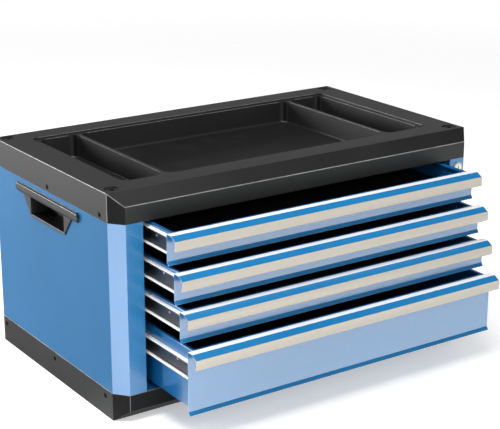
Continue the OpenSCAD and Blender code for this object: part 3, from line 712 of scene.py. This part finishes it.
def rounded(node, sheet=0.0, inside=0.6 * MM, fine=0.15 * MM, rim=0.0, shape=None, look=None):
    """Replaces a solid by its copy with rounded folds and edges."""
    merged_copy(node)
    if sheet:
        mesh = bmesh.from_edit_mesh(bpy.context.object.data)
        kinds = sorted({fold_of(edge, sheet) for edge in mesh.edges} - {None})
        for kind in kinds:
            pick("EDGE", lambda edge: fold_of(edge, sheet) == kind)
            angle, outer = kind
            radius = inside + sheet if outer else inside
            setback = radius * math.tan(math.radians(angle) / 2)
            bpy.ops.mesh.bevel(offset=setback, segments=FOLD_STEPS)
    if shape:
        shape()
    if rim:
        pick("EDGE", is_rim)
        bpy.ops.mesh.bevel(offset=rim, segments=RIM_STEPS, material=WEAR_AND_HIGHLIGHT)
    bpy.ops.object.mode_set(mode="OBJECT")
    modify("BEVEL", width=fine, segments=FINE_STEPS, limit_method="ANGLE", angle_limit=SHARP_EDGE,
           material=-1 if rim else WEAR_AND_HIGHLIGHT)
    mark_wear_and_highlight(bpy.context.object.data)
    piece = finish(node + "_finished", slot_of[node], body_of[node], [node], look)
    print(node, len(piece.data.polygons), "faces")
    return piece


def refinish(piece, look, test):
    """Gives the faces that pass a test another finish."""
    piece.data.materials.append(finishes[look])
    for face in piece.data.polygons:
        if test(face):
            face.material_index = len(piece.data.materials) - 1


# %% [markdown]
# ## Cabinet sheets
#
# The cabinet is folded from sheet. One sheet a side makes the side, the cut
# corner and the post beside the drawers, so its copy gets three tones of the
# same paint, picked by where a face is and which way it looks: a darker blue on
# the side as painted shade, and paler blues on the cut corner and the post as
# painted light. The floor and top panels hardly show, so they only get the fine
# bevel.

# %% Round the cabinet sheets
SHEET = 0.9 * MM
CORNER_Y = -150 * MM


def is_cut_or_post(face):
    return face.center.y < CORNER_Y and abs(face.normal.x) < 0.9


def is_post(face):
    return face.normal.y < -0.95


for side in ("left", "right"):
    # The side keeps a darker blue as painted shade, and the cut corner and the post get paler blues
    # as painted light.
    panel = rounded(side + "_side_panel", SHEET, look="side_painted_shade")
    refinish(panel, "cut_painted_light", is_cut_or_post)
    refinish(panel, "post_painted_light", is_post)
    rounded(side + "_upright", SHEET)
rounded("back_panel", SHEET)
rounded("floor_panel")
rounded("top_panel")

# %% [markdown]
# ## Drawers
#
# A drawer is a folded box with a folded front, an aluminium grip strip along the
# front and a slide on each side. The drawers differ in height only, so one loop
# rounds them all. The flat top edge of a front gets the near-white tone, a
# painted highlight. The slides have crisp lips, so they only get the fine bevel.

# %% Round the drawers and slides
DRAWER_SHEET, STRIP_SHEET = 0.8 * MM, 1.2 * MM

for number in (1, 2, 3, 4):
    rounded("drawer_%d_box" % number, DRAWER_SHEET)
    front = rounded("drawer_%d_front" % number, DRAWER_SHEET)
    # The flat top edges get a near-white painted highlight.
    refinish(front, "lip_painted_highlight", lambda face: face.normal.z > 0.95)
    rounded("drawer_%d_strip" % number, STRIP_SHEET, inside=0.3 * MM)
    for side in ("left", "right"):
        rounded("drawer_%d_rail_%s" % (number, side))
        rounded("cabinet_rail_%d_%s" % (number, side))
rounded("drawer_4_catch")

# %% [markdown]
# ## Mouldings
#
# The tray, the base and the grips come out of a mould, and a moulding has no
# truly sharp edge: the tool is milled with a round cutter. The tray's pockets
# have the largest radius, where their walls meet the floor. They could be
# modelled as new pockets, but a bevel on those edges alone gives the same.

# %% Round the mouldings
POCKET_FLOOR, FILLET = 318.9 * MM, 3.5 * MM
LEVEL_WITHIN, STEEP = 0.05 * MM, math.radians(57)


def is_floor_edge(edge):
    level = all(abs(corner.co.z - POCKET_FLOOR) < LEVEL_WITHIN for corner in edge.verts)
    return level and len(edge.link_faces) == 2 and edge.calc_face_angle(0) > STEEP


def fillet_pockets():
    """Rounds the edges where the pocket walls meet their floors."""
    found = pick("EDGE", is_floor_edge)
    bpy.ops.mesh.bevel(offset=FILLET, segments=FOLD_STEPS)
    print("edges round the pocket floors:", found)


def is_pocket_floor(face):
    return face.normal.z > 0.95 and abs(face.center.z - POCKET_FLOOR) < 0.5 * MM


def is_cut_corner(face):
    return face.normal.y < -0.5 and abs(face.normal.x) > 0.5


plinth = rounded("plinth", fine=0.3 * MM, rim=0.5 * MM)
# The base's front faces lie under the drawers and get the deeper black as painted shade.
refinish(plinth, "painted_shade_moulding", lambda face: face.normal.y < -0.5)
tray = rounded("top_tray", fine=0.6 * MM, rim=0.8 * MM, shape=fillet_pockets)
refinish(tray, "compartment_floor", is_pocket_floor)
# The tray's cut corners get the deeper black as painted shade.
refinish(tray, "painted_shade_moulding", is_cut_corner)
for side in ("left", "right"):
    grip = rounded(side + "_handle", fine=0.3 * MM, rim=0.6 * MM)
    # The grips' upward faces get the deeper black as a painted dark reflection of the room overhead.
    refinish(grip, "painted_shade_moulding", lambda face: face.normal.z > 0.3)

# %% [markdown]
# ## Screws
#
# Twelve black screws hold the mouldings from the sides, four hold the tray from
# above, and a small one shows on each drawer's slides. All are pan heads with a
# cross recess. A turned profile would give the head, but a cylinder with a soft
# bevel is quicker. Under the head comes a shank, extruded from an inset.

# %% Model one screw
HEAD_R, HEAD_H, SHANK_R, SHANK_L = 4 * MM, 1.6 * MM, 1.8 * MM, 5 * MM
TAPER = (0.6, 0.6, 1)

clear()
bpy.ops.mesh.primitive_cylinder_add(vertices=32, radius=HEAD_R, depth=HEAD_H,
                                    location=(0, 0, HEAD_H / 2))
bpy.ops.object.transform_apply(location=True)
screw_master = bpy.context.object
edit()
pick("EDGE", lambda edge: all(corner.co.z > HEAD_H * 0.9 for corner in edge.verts))
bpy.ops.mesh.bevel(offset=HEAD_H * 0.75, segments=4)
pick("FACE", lambda face: face.normal.z < -0.9)
bpy.ops.mesh.inset(thickness=HEAD_R - SHANK_R)
bpy.ops.mesh.extrude_region_move(TRANSFORM_OT_translate={"value": (0, 0, -SHANK_L)})
bpy.ops.transform.resize(value=TAPER)
print("screw head:", round(2 * HEAD_R / MM, 1), "millimetres across")

# %% [markdown]
# ### Cross recess
#
# The real recess is pressed by a tool shaped like the screwdriver's tip. Cutting
# it face by face would be fiddly, so the tip is modelled instead: a small block
# with four arms, narrower at its foot. A boolean takes it out of the head.

# %% Press the recess
ARM_W, ARM_L, RECESS = 1.1 * MM, 1.5 * MM, 1.2 * MM

clear()
bpy.ops.mesh.primitive_cube_add(size=1, location=(0, 0, HEAD_H))
tip = bpy.context.object
tip.scale = (ARM_W, ARM_W, 2 * RECESS)
bpy.ops.object.transform_apply(location=True, scale=True)
edit()


def is_arm_end(face, x, y):
    """True for the block's own face towards an arm, not for one of another arm."""
    centre = face.calc_center_median()
    aside = abs(centre.x * y) + abs(centre.y * x)
    return face.normal.x * x + face.normal.y * y > 0.9 and aside < ARM_W / 4


for x, y in ((1, 0), (-1, 0), (0, 1), (0, -1)):
    pick("FACE", lambda face: is_arm_end(face, x, y))
    bpy.ops.mesh.extrude_region_move(TRANSFORM_OT_translate={"value": (x * ARM_L, y * ARM_L, 0)})
pick("FACE", lambda face: face.normal.z < -0.9)
bpy.ops.transform.resize(value=TAPER)
clear()
activate(screw_master)
modify("BOOLEAN", object=tip, operation="DIFFERENCE")
bpy.data.objects.remove(tip)
print("screw:", len(screw_master.data.polygons), "faces")

# %% [markdown]
# ### All the screws
#
# One screw is modelled and then copied, each copy with its own mesh, as a maker
# buys one kind and uses it everywhere. No two real ones stop at the same angle,
# so each copy is turned a little further. The small ones sit on the drawers'
# slide members and travel with them.

# %% Copy the screw
TRAY_SCREW_X, TRAY_SCREW_Y, TRAY_SCREW_SEAT = 326 * MM, (-164.5 * MM, 186.5 * MM), 353.9 * MM
SIDE_SCREW_SEAT = 343.3 * MM
SIDE_SCREW_Y, SIDE_SCREW_Z = (-159 * MM, 11 * MM, 191 * MM), (33.3 * MM, 322.5 * MM)
SLIDE_SCREW_SEAT, SLIDE_SCREW_IN, SLIDE_SCREW_SCALE = 284.8 * MM, 38 * MM, 0.5
SLIDE_SCREW_Z = (296.7 * MM, 244.0 * MM, 187.0 * MM, 121.0 * MM)
TRAY_TURN, SIDE_TURN = 17, 23


def screw(name, place, outward, slot, body, replaced=(), size=1.0, turn=0.0):
    """Puts a copy of the screw under its head at a place, pointing outward."""
    piece = bpy.data.objects.new(name, screw_master.data.copy())
    bpy.context.scene.collection.objects.link(piece)
    activate(piece)
    piece.location = place
    piece.rotation_mode = "QUATERNION"
    piece.rotation_quaternion = (Vector(outward).to_track_quat("Z", "Y")
                                 @ Quaternion((0, 0, 1), math.radians(turn)))
    piece.scale = (size, size, size)
    finish(name, slot, body, replaced)


tray_places = [(x, y) for y in TRAY_SCREW_Y for x in (-TRAY_SCREW_X, TRAY_SCREW_X)]
for number, (x, y) in enumerate(tray_places, 1):
    screw("tray_screw_%d" % number, (x, y, TRAY_SCREW_SEAT), (0, 0, 1), "screw",
          body_of["tray_screws"], ["tray_screws"], turn=TRAY_TURN * number)
for side, sign in (("left", -1), ("right", 1)):
    outward = (sign, 0, 0)
    side_screws = side + "_screws"
    side_places = [(y, z) for z in SIDE_SCREW_Z for y in SIDE_SCREW_Y]
    for number, (y, z) in enumerate(side_places, 1):
        screw("%s_screw_%d" % (side, number), (sign * SIDE_SCREW_SEAT, y, z), outward, "screw",
              body_of[side_screws], [side_screws], turn=SIDE_TURN * number)
    for number, z in enumerate(SLIDE_SCREW_Z, 1):
        rail = "drawer_%d_rail_%s" % (number, side)
        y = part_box(rail)[0].y + SLIDE_SCREW_IN
        screw("slide_screw_%d_%s" % (number, side), (sign * SLIDE_SCREW_SEAT, y, z), outward, "zinc",
              body_of[rail], size=SLIDE_SCREW_SCALE)
bpy.data.objects.remove(screw_master)

# %% [markdown]
# ## Colours
#
# Colours are shown as they are, without a film curve.

# %% Colours
bpy.context.scene.view_settings.view_transform = "Standard"
